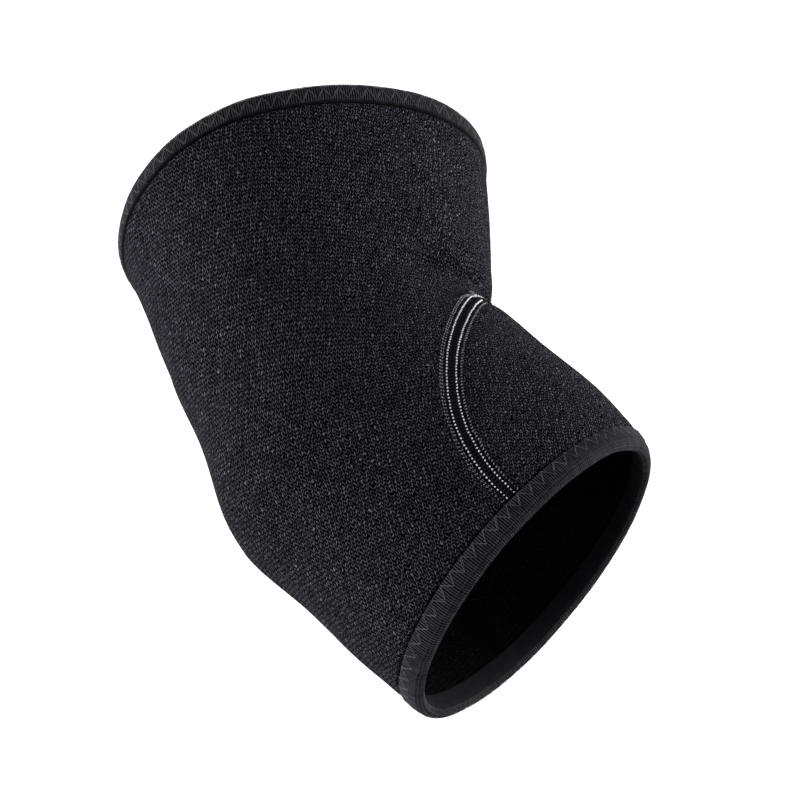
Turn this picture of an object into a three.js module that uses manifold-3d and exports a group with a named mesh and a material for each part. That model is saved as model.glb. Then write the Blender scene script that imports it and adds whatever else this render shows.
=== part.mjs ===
// Elbow brace: a sleeve of padded knit, bent a little at the elbow as it is when worn.
// The origin is the elbow's hinge centre, inside the sleeve. +Y runs up the upper arm, the crook of the
// elbow faces +X, and +Z is the hinge's axis, toward the outer side. Lengths are in mm, angles in degrees.

import * as THREE from "three";
import { mergeVertices } from "three/addons/utils/BufferGeometryUtils.js";
import Module from "manifold-3d";

const wasm = await Module();
wasm.setup();

// The padded knit, and the gap kept between any two pieces.
const wall = 3.2;
const clearance = 0.3;

// The arm line: its bend, the fold's radius at the crook, and the length from the bend to each rim.
const bendAngle = 33;
const crookRadius = 11;
const upperLength = 74;
const forearmLength = 95;

// How far each rim leans from square to the arm line.
const upperRimLean = 5;
const forearmRimLean = 3.5;

// Outer size of the section at the elbow and near each rim. Depth runs from the crook to the elbow's tip.
const elbowDepth = 99.5;
const elbowWidth = 85;
const upperDepth = 120.5;
const upperWidth = 112;
const forearmDepth = 104.5;
const forearmWidth = 87.5;

// The binding folded over each rim: its reach along the sleeve, its cloth, and its rise over the wall.
const hemReach = 7.4;
const hemCloth = 1;
const hemRise = 0.45;

// The flatlock seams: the band of stitches, how thick it lies, and its rise over the wall.
const seamWidth = 7.9;
const seamThickness = 0.6;
const seamRise = 0.1;

// The gusset: how far round it reaches at the forearm rim, to each side of the crook's middle line, and how
// far below the middle of the bend its tip lies.
const gussetSpread = 97;
const gussetTipDrop = 15.5;

// The creases that the bend presses into the knit beside the crook.
const creaseDepth = 1.5;

// Fineness of the faceted surfaces.
const roundSteps = 48;
const forearmSteps = 6;
const bendSteps = 5;
const upperSteps = 5;
const foldSteps = 4;
const seamSteps = 28;
const closingSteps = 10;
const tongueColumns = 16;
const bandColumns = 4;

// Sections from the forearm rim (at -1) over the elbow (0) to the upper rim (1). front is the reach toward
// the crook and back the reach toward the elbow's tip, as shares of the named depth. side is the reach to
// each side, as a share of the named width.
const forearmSize = { depth: forearmDepth, width: forearmWidth };
const elbowSize = { depth: elbowDepth, width: elbowWidth };
const upperSize = { depth: upperDepth, width: upperWidth };
const sections = [
  { at: -1, of: forearmSize, front: 0.515, back: 0.497, side: 0.5 },
  { at: -0.75, of: forearmSize, front: 0.57, back: 0.504, side: 0.495 },
  { at: -0.5, of: forearmSize, front: 0.58, back: 0.49, side: 0.49 },
  { at: -0.25, of: forearmSize, front: 0.575, back: 0.484, side: 0.487 },
  { at: 0, of: elbowSize, front: 0.592, back: 0.402, side: 0.5 },
  { at: 0.25, of: elbowSize, front: 0.613, back: 0.408, side: 0.514 },
  { at: 0.5, of: upperSize, front: 0.546, back: 0.354, side: 0.416 },
  { at: 0.75, of: upperSize, front: 0.577, back: 0.373, side: 0.454 },
  { at: 1, of: upperSize, front: 0.607, back: 0.397, side: 0.504 },
];
const elbowFront = elbowDepth * sections[4].front;

// The creases, one to each side. at is a share of the upper length, angle is measured from the crook's middle
// line, depth is a share of the crease depth, and run and across are shares of the elbow's width.
const creases = [
  { at: 0.26, angle: 28, depth: 1, run: 0.2, across: 0.07, turn: -18 },
  { at: 0.26, angle: -28, depth: 1, run: 0.2, across: 0.07, turn: 18 },
];

// Sizes that follow from the ones above.
const radians = THREE.MathUtils.degToRad;
const degrees = THREE.MathUtils.radToDeg;
const bend = radians(bendAngle);
const bendRadius = elbowFront + crookRadius;
const halfBend = (bendRadius * bend) / 2;
const foldRadius = wall / 2 + hemRise;
const underHem = hemReach + clearance;
const gussetLength = forearmLength - gussetTipDrop;
const beyond = 2 * wall;

// A cubic through one value of each section row, with slopes taken from the rows to each side.
function smoothed(share, valueOf) {
  const last = sections.length - 1;
  const place = THREE.MathUtils.clamp(((share + 1) * last) / 2, 0, last);
  const first = Math.min(Math.floor(place), last - 1);
  const u = place - first;
  const value = (row) => valueOf(sections[THREE.MathUtils.clamp(row, 0, last)]);
  const slope = (row) => (value(row + 1) - value(row - 1)) / (row === 0 || row === last ? 1 : 2);
  const bow = (slope(first) * (1 - u) - slope(first + 1) * u) * u * (1 - u);
  const straight = value(first + 1) - value(first);
  const ease = u * u * (3 - 2 * u);
  return value(first) + straight * ease + bow;
}

// The arm line at a length from the middle of the bend: its point, the way up the arm and the way to the crook.
function armLine(along) {
  const inBend = THREE.MathUtils.clamp(along, -halfBend, halfBend);
  const turned = (halfBend - inBend) / bendRadius;
  const up = new THREE.Vector3(-Math.sin(turned), Math.cos(turned), 0);
  const crook = new THREE.Vector3(Math.cos(turned), Math.sin(turned), 0);
  const point = new THREE.Vector3(bendRadius, bendRadius * Math.tan(bend / 2), 0);
  point.addScaledVector(crook, -bendRadius).addScaledVector(up, along - inBend);
  return { point, up, crook };
}

// How deep the creases press in at a place on the sleeve.
function creaseAt(along, angle) {
  let pressed = 0;
  for (const crease of creases) {
    const x = along - crease.at * upperLength;
    const y = (radians(angle - crease.angle) * elbowWidth) / 2;
    const cos = Math.cos(radians(crease.turn));
    const sin = Math.sin(radians(crease.turn));
    const over = (x * cos + y * sin) / (crease.across * elbowWidth);
    const down = (y * cos - x * sin) / (crease.run * elbowWidth);
    pressed += crease.depth * creaseDepth * Math.exp(-over * over - down * down);
  }
  return pressed;
}

// A point of the sleeve: a length along the arm line, an angle round it from the crook (90 is the outer side),
// and a height over the outer face, so that the inner face is at -wall.
function sleevePoint(along, angle, height) {
  const share = along < 0 ? along / forearmLength : along / upperLength;
  const lean = along < 0 ? forearmRimLean : upperRimLean;
  const cos = Math.cos(radians(angle));
  const sin = Math.sin(radians(angle));
  const raised = height - creaseAt(along, angle);
  const front = smoothed(share, (row) => row.front * row.of.depth) + raised;
  const back = smoothed(share, (row) => row.back * row.of.depth) + raised;
  const side = smoothed(share, (row) => row.side * row.of.width) + raised;
  const toCrook = (cos > 0 ? front : back) * cos;
  const { point, up, crook } = armLine(along);
  point.addScaledVector(crook, toCrook);
  point.addScaledVector(up, toCrook * share * share * Math.tan(radians(lean)));
  point.z = side * sin;
  return point;
}

// Walks some mm over the outer face, square to a way given as { along, angle }: to its right, seen from outside.
function walkBeside(place, way, distance) {
  const strides = 8;
  const nudge = 0.05;
  let { along, angle } = place;
  for (let stride = 0; stride < strides; stride++) {
    const here = sleevePoint(along, angle, 0);
    const perAlong = sleevePoint(along + nudge, angle, 0).distanceTo(here) / nudge;
    const perAngle = sleevePoint(along, angle + nudge, 0).distanceTo(here) / nudge;
    const up = way.along * perAlong;
    const round = way.angle * perAngle;
    const step = distance / strides / Math.hypot(up, round);
    along += (round * step) / perAlong;
    angle -= (up * step) / perAngle;
  }
  return { along, angle };
}

// Even steps from one value to another, both ends included.
function steps(from, to, count) {
  return Array.from({ length: count + 1 }, (_, i) => from + ((to - from) * i) / count);
}

// A closed solid: doubled vertices merged, flat slivers dropped, and its faces turned outward.
function toSolid(geometry) {
  const bare = geometry.clone();
  bare.deleteAttribute("normal");
  bare.deleteAttribute("uv");
  const merged = mergeVertices(bare, 1e-4);
  const corners = merged.attributes.position;
  const faces = [];
  let volume = 0;
  for (let i = 0; i < merged.index.count; i += 3) {
    const face = [0, 1, 2].map((corner) => merged.index.getX(i + corner));
    if (new Set(face).size < 3) {
      continue;
    }
    const [a, b, c] = face.map((corner) => new THREE.Vector3().fromBufferAttribute(corners, corner));
    volume += a.dot(b.cross(c));
    faces.push(face);
  }
  const outward = volume > 0 ? faces : faces.map((face) => face.reverse());
  const vertProperties = new Float32Array(corners.array);
  const triVerts = new Uint32Array(outward.flat());
  return new wasm.Manifold(new wasm.Mesh({ numProp: 3, vertProperties, triVerts }));
}

// A closed outline of [along, height] points carried all the way round the sleeve.
function sweptRound(outline) {
  const angles = steps(0, 360, roundSteps).slice(0, -1);
  const points = angles.flatMap((angle) => outline.map(([along, height]) => sleevePoint(along, angle, height)));
  const count = outline.length;
  const index = [];
  for (let i = 0; i < points.length; i++) {
    const besideIt = i - (i % count) + ((i + 1) % count);
    const nextLoop = (i + count) % points.length;
    const across = (besideIt + count) % points.length;
    index.push(i, besideIt, across, i, across, nextLoop);
  }
  const geometry = new THREE.BufferGeometry().setFromPoints(points);
  return toSolid(geometry.setIndex(index));
}

// A slab on the sleeve with one row of corners for each entry of rows. placeOf gives the place for a share
// across (-1 to 1) and an entry.
function slabOnSleeve(columns, rows, low, high, placeOf) {
  const last = rows.length - 1;
  const geometry = new THREE.BoxGeometry(2, 1, 1, columns, last, 1);
  const corners = geometry.attributes.position;
  for (let i = 0; i < corners.count; i++) {
    const row = rows[Math.round((corners.getY(i) + 0.5) * last)];
    const { along, angle } = placeOf(corners.getX(i), row);
    const point = sleevePoint(along, angle, corners.getZ(i) > 0 ? high : low);
    corners.setXYZ(i, point.x, point.y, point.z);
  }
  return toSolid(geometry);
}

// The shell of both panels: its faces step in at each rim, under the binding.
function shellOutline() {
  const pinch = hemCloth - hemRise + clearance;
  const lowRim = -forearmLength;
  const outer = [
    [lowRim + foldRadius, -pinch],
    [lowRim + underHem, -pinch],
    ...steps(lowRim + underHem, -halfBend, forearmSteps).map((along) => [along, 0]),
    ...steps(-halfBend, halfBend, bendSteps).slice(1, -1).map((along) => [along, 0]),
    ...steps(halfBend, upperLength - underHem, upperSteps).map((along) => [along, 0]),
    [upperLength - underHem, -pinch],
    [upperLength - foldRadius, -pinch],
  ];
  const inner = outer.map(([along, height]) => [along, -wall - height]);
  return [...outer, ...inner.reverse()];
}

// The binding's section: cloth folded over a rim, round at the fold. inward is 1 or -1, toward the elbow.
function hemOutline(rim, inward) {
  const arc = (radius, from, to) =>
    steps(from, to, foldSteps).map((turn) => [
      foldRadius - radius * Math.cos(radians(turn)),
      radius * Math.sin(radians(turn)) - wall / 2,
    ]);
  const outside = arc(foldRadius, 90, -90);
  const inside = arc(foldRadius - hemCloth, -90, 90);
  const loop = [
    [hemReach, outside[0][1]],
    ...outside,
    [hemReach, outside.at(-1)[1]],
    [hemReach, inside[0][1]],
    ...inside,
    [hemReach, inside.at(-1)[1]],
  ];
  return loop.map(([fromRim, height]) => [rim + inward * fromRim, height]);
}

// A place beside the gusset's edge. turn runs from -90 on the outer side of the forearm rim over 0 at the tip
// to 90 on the inner side, and inward is the distance from the edge into the gusset, in mm.
function besideGussetEdge(turn, inward) {
  const cos = Math.cos(radians(turn));
  const sin = Math.sin(radians(turn));
  const place = { along: gussetLength * cos - forearmLength, angle: -gussetSpread * sin };
  const way = { along: -gussetLength * sin, angle: -gussetSpread * cos };
  return walkBeside(place, way, inward);
}

// The space inside the gusset's edge, through the wall and past the rim, grown by some mm.
function gussetSpace(grown) {
  const edge = steps(-90, 0, seamSteps / 2).map((turn) => besideGussetEdge(turn, -grown));
  edge.unshift({ along: -forearmLength - beyond, angle: edge[0].angle });
  return slabOnSleeve(tongueColumns, edge, -wall - beyond, beyond, (across, { along, angle }) => {
    return { along, angle: across * angle };
  });
}

// A band along the gusset's edge. overrun carries each end on, toward the rim.
function gussetBand(width, low, high, overrun) {
  const end = degrees(Math.acos(underHem / gussetLength));
  const turns = steps(-end, end, seamSteps);
  if (overrun) {
    const past = degrees(Math.acos((underHem - overrun) / gussetLength));
    turns.unshift(-past);
    turns.push(past);
  }
  const lowest = underHem - overrun - forearmLength;
  return slabOnSleeve(bandColumns, turns, low, high, (across, turn) => {
    const { along, angle } = besideGussetEdge(turn, (across * width) / 2);
    return { along: Math.max(along, lowest), angle };
  });
}

// A band on the crook's middle line, where the body panel's two edges meet. It starts beside the gusset's band
// and ends at the upper hem, or runs on past both.
function closingBand(width, low, high, runsOn) {
  const tip = { along: gussetLength - forearmLength, angle: 0 };
  const start = walkBeside(tip, { along: 0, angle: 1 }, seamWidth / 2 + clearance).along;
  const places = steps(start, upperLength - underHem, closingSteps);
  if (runsOn) {
    places.unshift(tip.along);
    places.push(upperLength + beyond);
  }
  const upward = { along: 1, angle: 0 };
  return slabOnSleeve(bandColumns, places, low, high, (across, along) =>
    walkBeside({ along, angle: 0 }, upward, (across * width) / 2),
  );
}

// The finishes.
const knit = new THREE.MeshStandardMaterial({ color: 0x24242a, roughness: 0.92, metalness: 0 });
const binding = new THREE.MeshStandardMaterial({ color: 0x18181c, roughness: 0.85, metalness: 0 });
const thread = new THREE.MeshStandardMaterial({ color: 0xb9bac0, roughness: 0.6, metalness: 0 });

const sleeve = new THREE.Group();

function addPiece(name, solid, material) {
  const { vertProperties, triVerts } = solid.getMesh();
  const geometry = new THREE.BufferGeometry();
  geometry.setAttribute("position", new THREE.BufferAttribute(vertProperties, 3));
  geometry.setIndex(new THREE.BufferAttribute(triVerts, 1));
  const mesh = new THREE.Mesh(geometry, material);
  mesh.name = name;
  sleeve.add(mesh);
}

// Both panels come from one shell, parted along the gusset's edge and along the closing seam, with a shallow
// channel on the outer face for each band of stitches.
const seamBed = seamRise - seamThickness;
const channelBed = seamBed - clearance;
const channelWidth = seamWidth + 2 * clearance;
const shell = sweptRound(shellOutline()).subtract(gussetBand(channelWidth, channelBed, beyond, underHem / 2));
const closingChannel = closingBand(channelWidth, channelBed, beyond, true);
const closingSlit = closingBand(clearance, -wall - beyond, beyond, true);
const aroundGusset = shell.subtract(gussetSpace(clearance / 2));

addPiece("body_panel", aroundGusset.subtract(closingChannel).subtract(closingSlit), knit);
addPiece("forearm_gusset", shell.intersect(gussetSpace(-clearance / 2)), knit);
addPiece("gusset_seam", gussetBand(seamWidth, seamBed, seamRise, 0), thread);
addPiece("closing_seam", closingBand(seamWidth, seamBed, seamRise, false), thread);
addPiece("upper_hem", sweptRound(hemOutline(upperLength, -1)), binding);
addPiece("forearm_hem", sweptRound(hemOutline(-forearmLength, 1)), binding);

export default sleeve;
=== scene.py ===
"""Elbow brace: a sleeve of padded knit with a gusset, flatlock seams and bound rims.

Every piece is laid out flat first, as the maker lays it out: round the sleeve, along it, and in height over
the outer face. It is then wrapped onto the form of the bent arm. Lengths are in millimetres until a piece
is wrapped, and in metres after that.
"""

import logging
import math
from dataclasses import dataclass, field, replace
from enum import Enum

import bmesh
import bpy
import numpy as np
from mathutils import Matrix, Vector

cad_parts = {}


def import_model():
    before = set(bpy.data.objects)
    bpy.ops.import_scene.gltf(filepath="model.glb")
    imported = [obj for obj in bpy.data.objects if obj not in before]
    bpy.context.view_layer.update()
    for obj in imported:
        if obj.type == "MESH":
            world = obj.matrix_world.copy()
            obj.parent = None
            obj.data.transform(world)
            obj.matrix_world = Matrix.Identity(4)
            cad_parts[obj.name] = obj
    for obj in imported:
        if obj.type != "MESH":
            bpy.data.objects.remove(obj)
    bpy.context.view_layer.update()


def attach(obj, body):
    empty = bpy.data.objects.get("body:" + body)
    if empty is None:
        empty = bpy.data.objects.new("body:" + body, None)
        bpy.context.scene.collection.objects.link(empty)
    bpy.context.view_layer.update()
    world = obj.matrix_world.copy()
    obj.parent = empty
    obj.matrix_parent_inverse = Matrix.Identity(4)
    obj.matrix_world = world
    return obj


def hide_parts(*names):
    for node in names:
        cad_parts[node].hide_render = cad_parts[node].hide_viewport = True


LOG = logging.getLogger("elbow_brace")
MM = 0.001
BODY = "root"
UV_NAME = "cloth"
# The attribute that holds the seams' share, which paints shade on the knit along the seams.
PRESS_AND_SHADE = "press_and_shade"
SHARP_EDGE = math.radians(50)

Colour = tuple[float, float, float, float]


@dataclass(frozen=True)
class Section:
    """The sleeve's outer section at one share of its length, by its reach to each side."""

    at: float
    depth: float
    width: float
    front: float
    back: float
    side: float


@dataclass(frozen=True)
class Fold:
    """A soft hollow sunk into the knit, or a swelling where its depth is negative."""

    along: float
    angle: float
    depth: float
    run: float
    across: float
    turn: float = 0.0

    def mirrored(self) -> "Fold":
        """The same fold on the sleeve's other side."""
        return replace(self, angle=-self.angle, turn=-self.turn)


FOREARM = (104.5, 87.5)
ELBOW = (99.5, 85.0)
UPPER = (120.5, 112.0)

SECTIONS = (
    Section(-1.00, *FOREARM, 0.515, 0.497, 0.500),
    Section(-0.75, *FOREARM, 0.570, 0.504, 0.495),
    Section(-0.50, *FOREARM, 0.580, 0.490, 0.490),
    Section(-0.25, *FOREARM, 0.575, 0.484, 0.487),
    Section(0.00, *ELBOW, 0.592, 0.402, 0.500),
    Section(0.25, *ELBOW, 0.613, 0.408, 0.514),
    Section(0.50, *UPPER, 0.546, 0.354, 0.416),
    Section(0.75, *UPPER, 0.577, 0.373, 0.454),
    Section(1.00, *UPPER, 0.607, 0.397, 0.504),
)

# The folds that both sides of the crook have: a wide hollow, the crease in it, the ridge below the crease,
# the swelling above it, and the padding that bulges beside the gusset's tip.
CROOK_FOLDS = (
    Fold(20.5, 28, 1.5, 17, 5.5, -16),
    Fold(20.6, 33, 2.9, 15, 1.8, -15),
    Fold(17.2, 36, -3.0, 13, 2.6, -15),
    Fold(29.0, 26, -0.9, 20, 5.0, -14),
    Fold(-13.0, 13, -2.0, 9, 5.5),
)
GUSSET_SWELLING = Fold(-30.0, 12, -0.6, 22, 9.0)
ELBOW_SWELLING = Fold(-16.0, 184, -1.0, 30, 13.0)
FOLDS = (
    *(fold for outer in CROOK_FOLDS for fold in (outer, outer.mirrored())),
    GUSSET_SWELLING,
    ELBOW_SWELLING,
)

# How far the gusset's edge swells past an ellipse, as a share of its size, at every 15 degrees of turn from
# the tip to the rim.
EDGE_SWELL = (-0.01, -0.007, 0.0, 0.0125, 0.0125, 0.006, -0.009)


@dataclass(frozen=True)
class SleeveForm:
    """The bent sleeve that every piece is wrapped onto.

    A place on it is a length along the arm line from the middle of the bend, upward, and an angle round the
    line from the crook, with 90 on the outer side.
    """

    wall: float = 3.2
    bend_angle: float = 33.0
    crook_radius: float = 11.0
    upper_length: float = 74.0
    forearm_length: float = 95.0
    upper_lean: float = 5.0
    forearm_lean: float = 3.5
    hem_reach: float = 7.4
    upper_hem_reach: float = 5.8
    hem_rise: float = 0.45
    gusset_spread: float = 97.0
    gusset_tip_drop: float = 15.5
    seam_dip: float = 0.6
    seam_width: float = 3.6
    sections: tuple[Section, ...] = SECTIONS
    folds: tuple[Fold, ...] = FOLDS

    @property
    def bend_radius(self) -> float:
        """The radius that the arm line turns on."""
        middle = self.sections[4]
        return middle.front * middle.depth + self.crook_radius

    @property
    def half_bend(self) -> float:
        """Half the length of the arm line in the bend."""
        return self.bend_radius * math.radians(self.bend_angle) / 2

    @property
    def fold_radius(self) -> float:
        """The radius of the binding where it folds over a rim."""
        return self.wall / 2 + self.hem_rise

    @property
    def gusset_length(self) -> float:
        """The gusset's length from the forearm rim to its tip."""
        return self.forearm_length - self.gusset_tip_drop

    def _smoothed(self, share: np.ndarray, values: np.ndarray) -> np.ndarray:
        """Runs a cubic through one value of each section.

        Args:
            share: Shares of the sleeve's length, from -1 at the forearm rim to 1 at the upper rim.
            values: One value for each section.

        Returns:
            The value at each share.
        """
        last = len(values) - 1
        place = np.clip((share + 1) * last / 2, 0, last)
        first = np.minimum(place.astype(int), last - 1)
        u = place - first
        slopes = np.gradient(values)
        bow = (slopes[first] * (1 - u) - slopes[first + 1] * u) * u * (1 - u)
        return values[first] + (values[first + 1] - values[first]) * u * u * (3 - 2 * u) + bow

    def _relief(self, along: np.ndarray, angle: np.ndarray) -> np.ndarray:
        """The height that folds and a little unevenness give the cloth.

        Args:
            along: Lengths along the arm line.
            angle: Angles round it.

        Returns:
            The height at each place, in millimetres.
        """
        height = np.zeros_like(along)
        per_degree = math.radians(1) * ELBOW[1] / 2
        for fold in self.folds:
            x = along - fold.along
            y = ((angle - fold.angle + 180) % 360 - 180) * per_degree
            turn = math.radians(fold.turn)
            over = (x * math.cos(turn) + y * math.sin(turn)) / fold.across
            down = (y * math.cos(turn) - x * math.sin(turn)) / fold.run
            height -= fold.depth * np.exp(-over * over - down * down)
        round_it = np.radians(angle)
        height += 0.16 * np.sin(3 * round_it + along / 13)
        height += 0.12 * np.sin(7 * round_it - along / 8 + 1)
        return height + 0.08 * np.sin(13 * round_it + along / 5 + 2)

    def points(self, along: np.ndarray, angle: np.ndarray, height: np.ndarray) -> np.ndarray:
        """Places on the sleeve as points of the shared frame.

        Args:
            along: Lengths along the arm line.
            angle: Angles round it, in degrees.
            height: Heights over the outer face.

        Returns:
            An array with a last axis of x, y and z, in millimetres.
        """
        along, angle, height = (
            np.array(values, float) for values in np.broadcast_arrays(along, angle, height)
        )
        cos = np.cos(np.radians(angle))
        sin = np.sin(np.radians(angle))
        lower = along < 0
        share = along / np.where(lower, self.forearm_length, self.upper_length)
        lean = np.tan(np.radians(np.where(lower, self.forearm_lean, self.upper_lean)))
        raised = height + self._relief(along, angle)
        front, back, side = (
            self._smoothed(share, np.array(values)) + raised
            for values in (
                [row.front * row.depth for row in self.sections],
                [row.back * row.depth for row in self.sections],
                [row.side * row.width for row in self.sections],
            )
        )
        to_crook = np.where(cos > 0, front, back) * cos
        in_bend = np.clip(along, -self.half_bend, self.half_bend)
        turned = (self.half_bend - in_bend) / self.bend_radius
        up_arm = along - in_bend + to_crook * share * share * lean
        out = to_crook - self.bend_radius
        x = self.bend_radius + out * np.cos(turned) - up_arm * np.sin(turned)
        y = out * np.sin(turned) + up_arm * np.cos(turned)
        y += self.bend_radius * math.tan(math.radians(self.bend_angle) / 2)
        return np.stack([x, y, side * sin], axis=-1)

    def stretch(self, along: np.ndarray, angle: np.ndarray) -> tuple[np.ndarray, np.ndarray]:
        """How long a millimetre along and a degree round come out on the surface.

        Args:
            along: Lengths along the arm line.
            angle: Angles round it.

        Returns:
            The length for a millimetre along, and the length for a degree round.
        """
        nudge = 0.05
        here = self.points(along, angle, 0)
        per_along = np.linalg.norm(self.points(along + nudge, angle, 0) - here, axis=-1) / nudge
        per_angle = np.linalg.norm(self.points(along, angle + nudge, 0) - here, axis=-1) / nudge
        return per_along, per_angle

    def _edge_size(self, turn: np.ndarray) -> np.ndarray:
        """The size of the gusset's edge against a plain ellipse, at turns from -90 to 90."""
        return 1 + self._smoothed(np.abs(turn) / 45 - 1, np.array(EDGE_SWELL))

    def gusset_turn(self, from_rim: float) -> float:
        """The turn at which the gusset's edge is at a distance from the forearm rim."""
        return math.degrees(math.acos(from_rim / self.gusset_length))

    def gusset_edge(self, turn: np.ndarray) -> tuple[np.ndarray, np.ndarray]:
        """The line where the gusset meets the body.

        Args:
            turn: From -90 at the rim's outer side over 0 at the tip to 90 at the rim's inner side.

        Returns:
            The lengths along and the angles round of its places.
        """
        size = self._edge_size(turn)
        along = self.gusset_length * size * np.cos(np.radians(turn)) - self.forearm_length
        return along, -self.gusset_spread * size * np.sin(np.radians(turn))

    def from_gusset_edge(self, along: np.ndarray, angle: np.ndarray) -> np.ndarray:
        """How far places lie outside the gusset's edge.

        Args:
            along: Lengths along the arm line.
            angle: Angles round it.

        Returns:
            The distance on the surface, below zero inside the gusset.
        """
        angle = (angle + 180) % 360 - 180
        per_along, per_angle = self.stretch(along, angle)
        up = (along + self.forearm_length) / self.gusset_length
        round_it = angle / self.gusset_spread
        turn = np.degrees(np.arctan2(np.abs(round_it), np.maximum(up, 0)))
        reach = np.maximum(np.hypot(up, round_it), 1e-3)
        slope = np.hypot(
            up / self.gusset_length / reach / per_along,
            round_it / self.gusset_spread / reach / per_angle,
        )
        return (reach - self._edge_size(turn)) / np.maximum(slope, 1e-4)

    def from_closing_line(self, along: np.ndarray, angle: np.ndarray) -> np.ndarray:
        """How far places lie from the line where the body's two edges meet.

        Args:
            along: Lengths along the arm line.
            angle: Angles round it.

        Returns:
            The distance on the surface, large below the gusset's tip.
        """
        _, per_angle = self.stretch(along, angle)
        beside = np.abs((angle + 180) % 360 - 180) * per_angle
        return np.hypot(beside, np.minimum(along + self.gusset_tip_drop, 0))

    def press_and_shade(self, from_seam: np.ndarray) -> np.ndarray:
        """How hard a seam presses the cloth and how much painted shade it puts on the knit, from 0 to 1, at
        distances from its middle line.
        """
        return np.exp(-((from_seam / self.seam_width) ** 4))


FORM = SleeveForm()


@dataclass
class ClothLengths:
    """Lengths over the sleeve's surface, so that a knit keeps its true size where it is wrapped."""

    middle: float
    alongs: np.ndarray = field(init=False)
    angles: np.ndarray = field(init=False)
    round_it: np.ndarray = field(init=False)
    up_it: np.ndarray = field(init=False)

    def __post_init__(self) -> None:
        """Measures a grid of places that spreads half a turn to each side of the middle angle."""
        self.alongs = np.linspace(-FORM.forearm_length - 2, FORM.upper_length + 2, 87)
        self.angles = np.linspace(self.middle - 180, self.middle + 180, 145)
        grid = FORM.points(self.alongs[:, None], self.angles[None, :], -FORM.wall / 2)
        across = np.linalg.norm(np.diff(grid, axis=1), axis=-1)
        upward = np.linalg.norm(np.diff(grid, axis=0), axis=-1)
        centre = len(self.angles) // 2
        bend = int(np.argmin(np.abs(self.alongs)))
        self.round_it = np.pad(np.cumsum(across, axis=1), ((0, 0), (1, 0)))
        self.round_it -= self.round_it[:, centre : centre + 1]
        self.up_it = np.pad(np.cumsum(upward, axis=0), ((1, 0), (0, 0)))
        self.up_it -= self.up_it[bend : bend + 1, :]

    def at(self, along: np.ndarray, angle: np.ndarray) -> np.ndarray:
        """The lengths from the middle of the cloth to each place.

        Args:
            along: Lengths along the arm line.
            angle: Angles round it, within half a turn of the middle angle.

        Returns:
            An array with a last axis of the length round and the length up.
        """
        row = np.interp(along, self.alongs, np.arange(len(self.alongs)))
        column = np.interp(angle, self.angles, np.arange(len(self.angles)))
        low = np.minimum(row.astype(int), len(self.alongs) - 2)
        left = np.minimum(column.astype(int), len(self.angles) - 2)
        v = row - low
        u = column - left
        found = []
        for table in (self.round_it, self.up_it):
            lower = table[low, left] * (1 - u) + table[low, left + 1] * u
            upper = table[low + 1, left] * (1 - u) + table[low + 1, left + 1] * u
            found.append(lower * (1 - v) + upper * v)
        return np.stack(found, axis=-1)


class Wiring:
    """Adds nodes to one node tree and links them."""

    def __init__(self, tree: bpy.types.NodeTree) -> None:
        """Takes the tree that the nodes go in."""
        self.tree = tree

    def node(self, kind: str, **settings: object) -> bpy.types.Node:
        """Adds a node.

        Args:
            kind: The node's type.
            settings: Its properties.

        Returns:
            The new node.
        """
        node = self.tree.nodes.new(kind)
        for name, value in settings.items():
            setattr(node, name, value)
        return node

    def feed(self, socket: bpy.types.NodeSocket, value: object) -> None:
        """Links a socket to another, or sets its value."""
        if isinstance(value, bpy.types.NodeSocket):
            self.tree.links.new(value, socket)
        else:
            socket.default_value = value

    def math(self, operation: str, *values: object) -> bpy.types.NodeSocket:
        """Adds a Math node on sockets or numbers, and returns its output."""
        node = self.node("ShaderNodeMath", operation=operation)
        for socket, value in zip(node.inputs, values):
            self.feed(socket, value)
        return node.outputs[0]

    def mix(self, factor: object, first: object, second: object) -> bpy.types.NodeSocket:
        """Adds a Mix node for colours, and returns its result."""
        node = self.node("ShaderNodeMix", data_type="RGBA", clamp_factor=True)
        sockets = {socket.identifier: socket for socket in node.inputs}
        self.feed(sockets["Factor_Float"], factor)
        self.feed(sockets["A_Color"], first)
        self.feed(sockets["B_Color"], second)
        return next(s for s in node.outputs if s.identifier == "Result_Color")

    def vector(self, x: object, y: object, z: object = 0.0) -> bpy.types.NodeSocket:
        """Joins three sockets or numbers into a vector."""
        node = self.node("ShaderNodeCombineXYZ")
        for socket, value in zip(node.inputs, (x, y, z)):
            self.feed(socket, value)
        return node.outputs[0]

    def ramp(self, value: object, low: float, high: float) -> bpy.types.NodeSocket:
        """Spreads the values between two limits over 0 to 1, and returns the result."""
        node = self.node("ShaderNodeMapRange", clamp=True)
        self.feed(node.inputs["Value"], value)
        node.inputs["From Min"].default_value = low
        node.inputs["From Max"].default_value = high
        return node.outputs["Result"]

    def bump(self, height: object, strength: float, relief: float) -> bpy.types.NodeSocket:
        """Turns a height into a normal, with its relief in millimetres, and returns the normal."""
        node = self.node("ShaderNodeBump")
        node.inputs["Strength"].default_value = strength
        node.inputs["Distance"].default_value = relief * MM
        self.feed(node.inputs["Height"], height)
        return node.outputs["Normal"]


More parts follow.
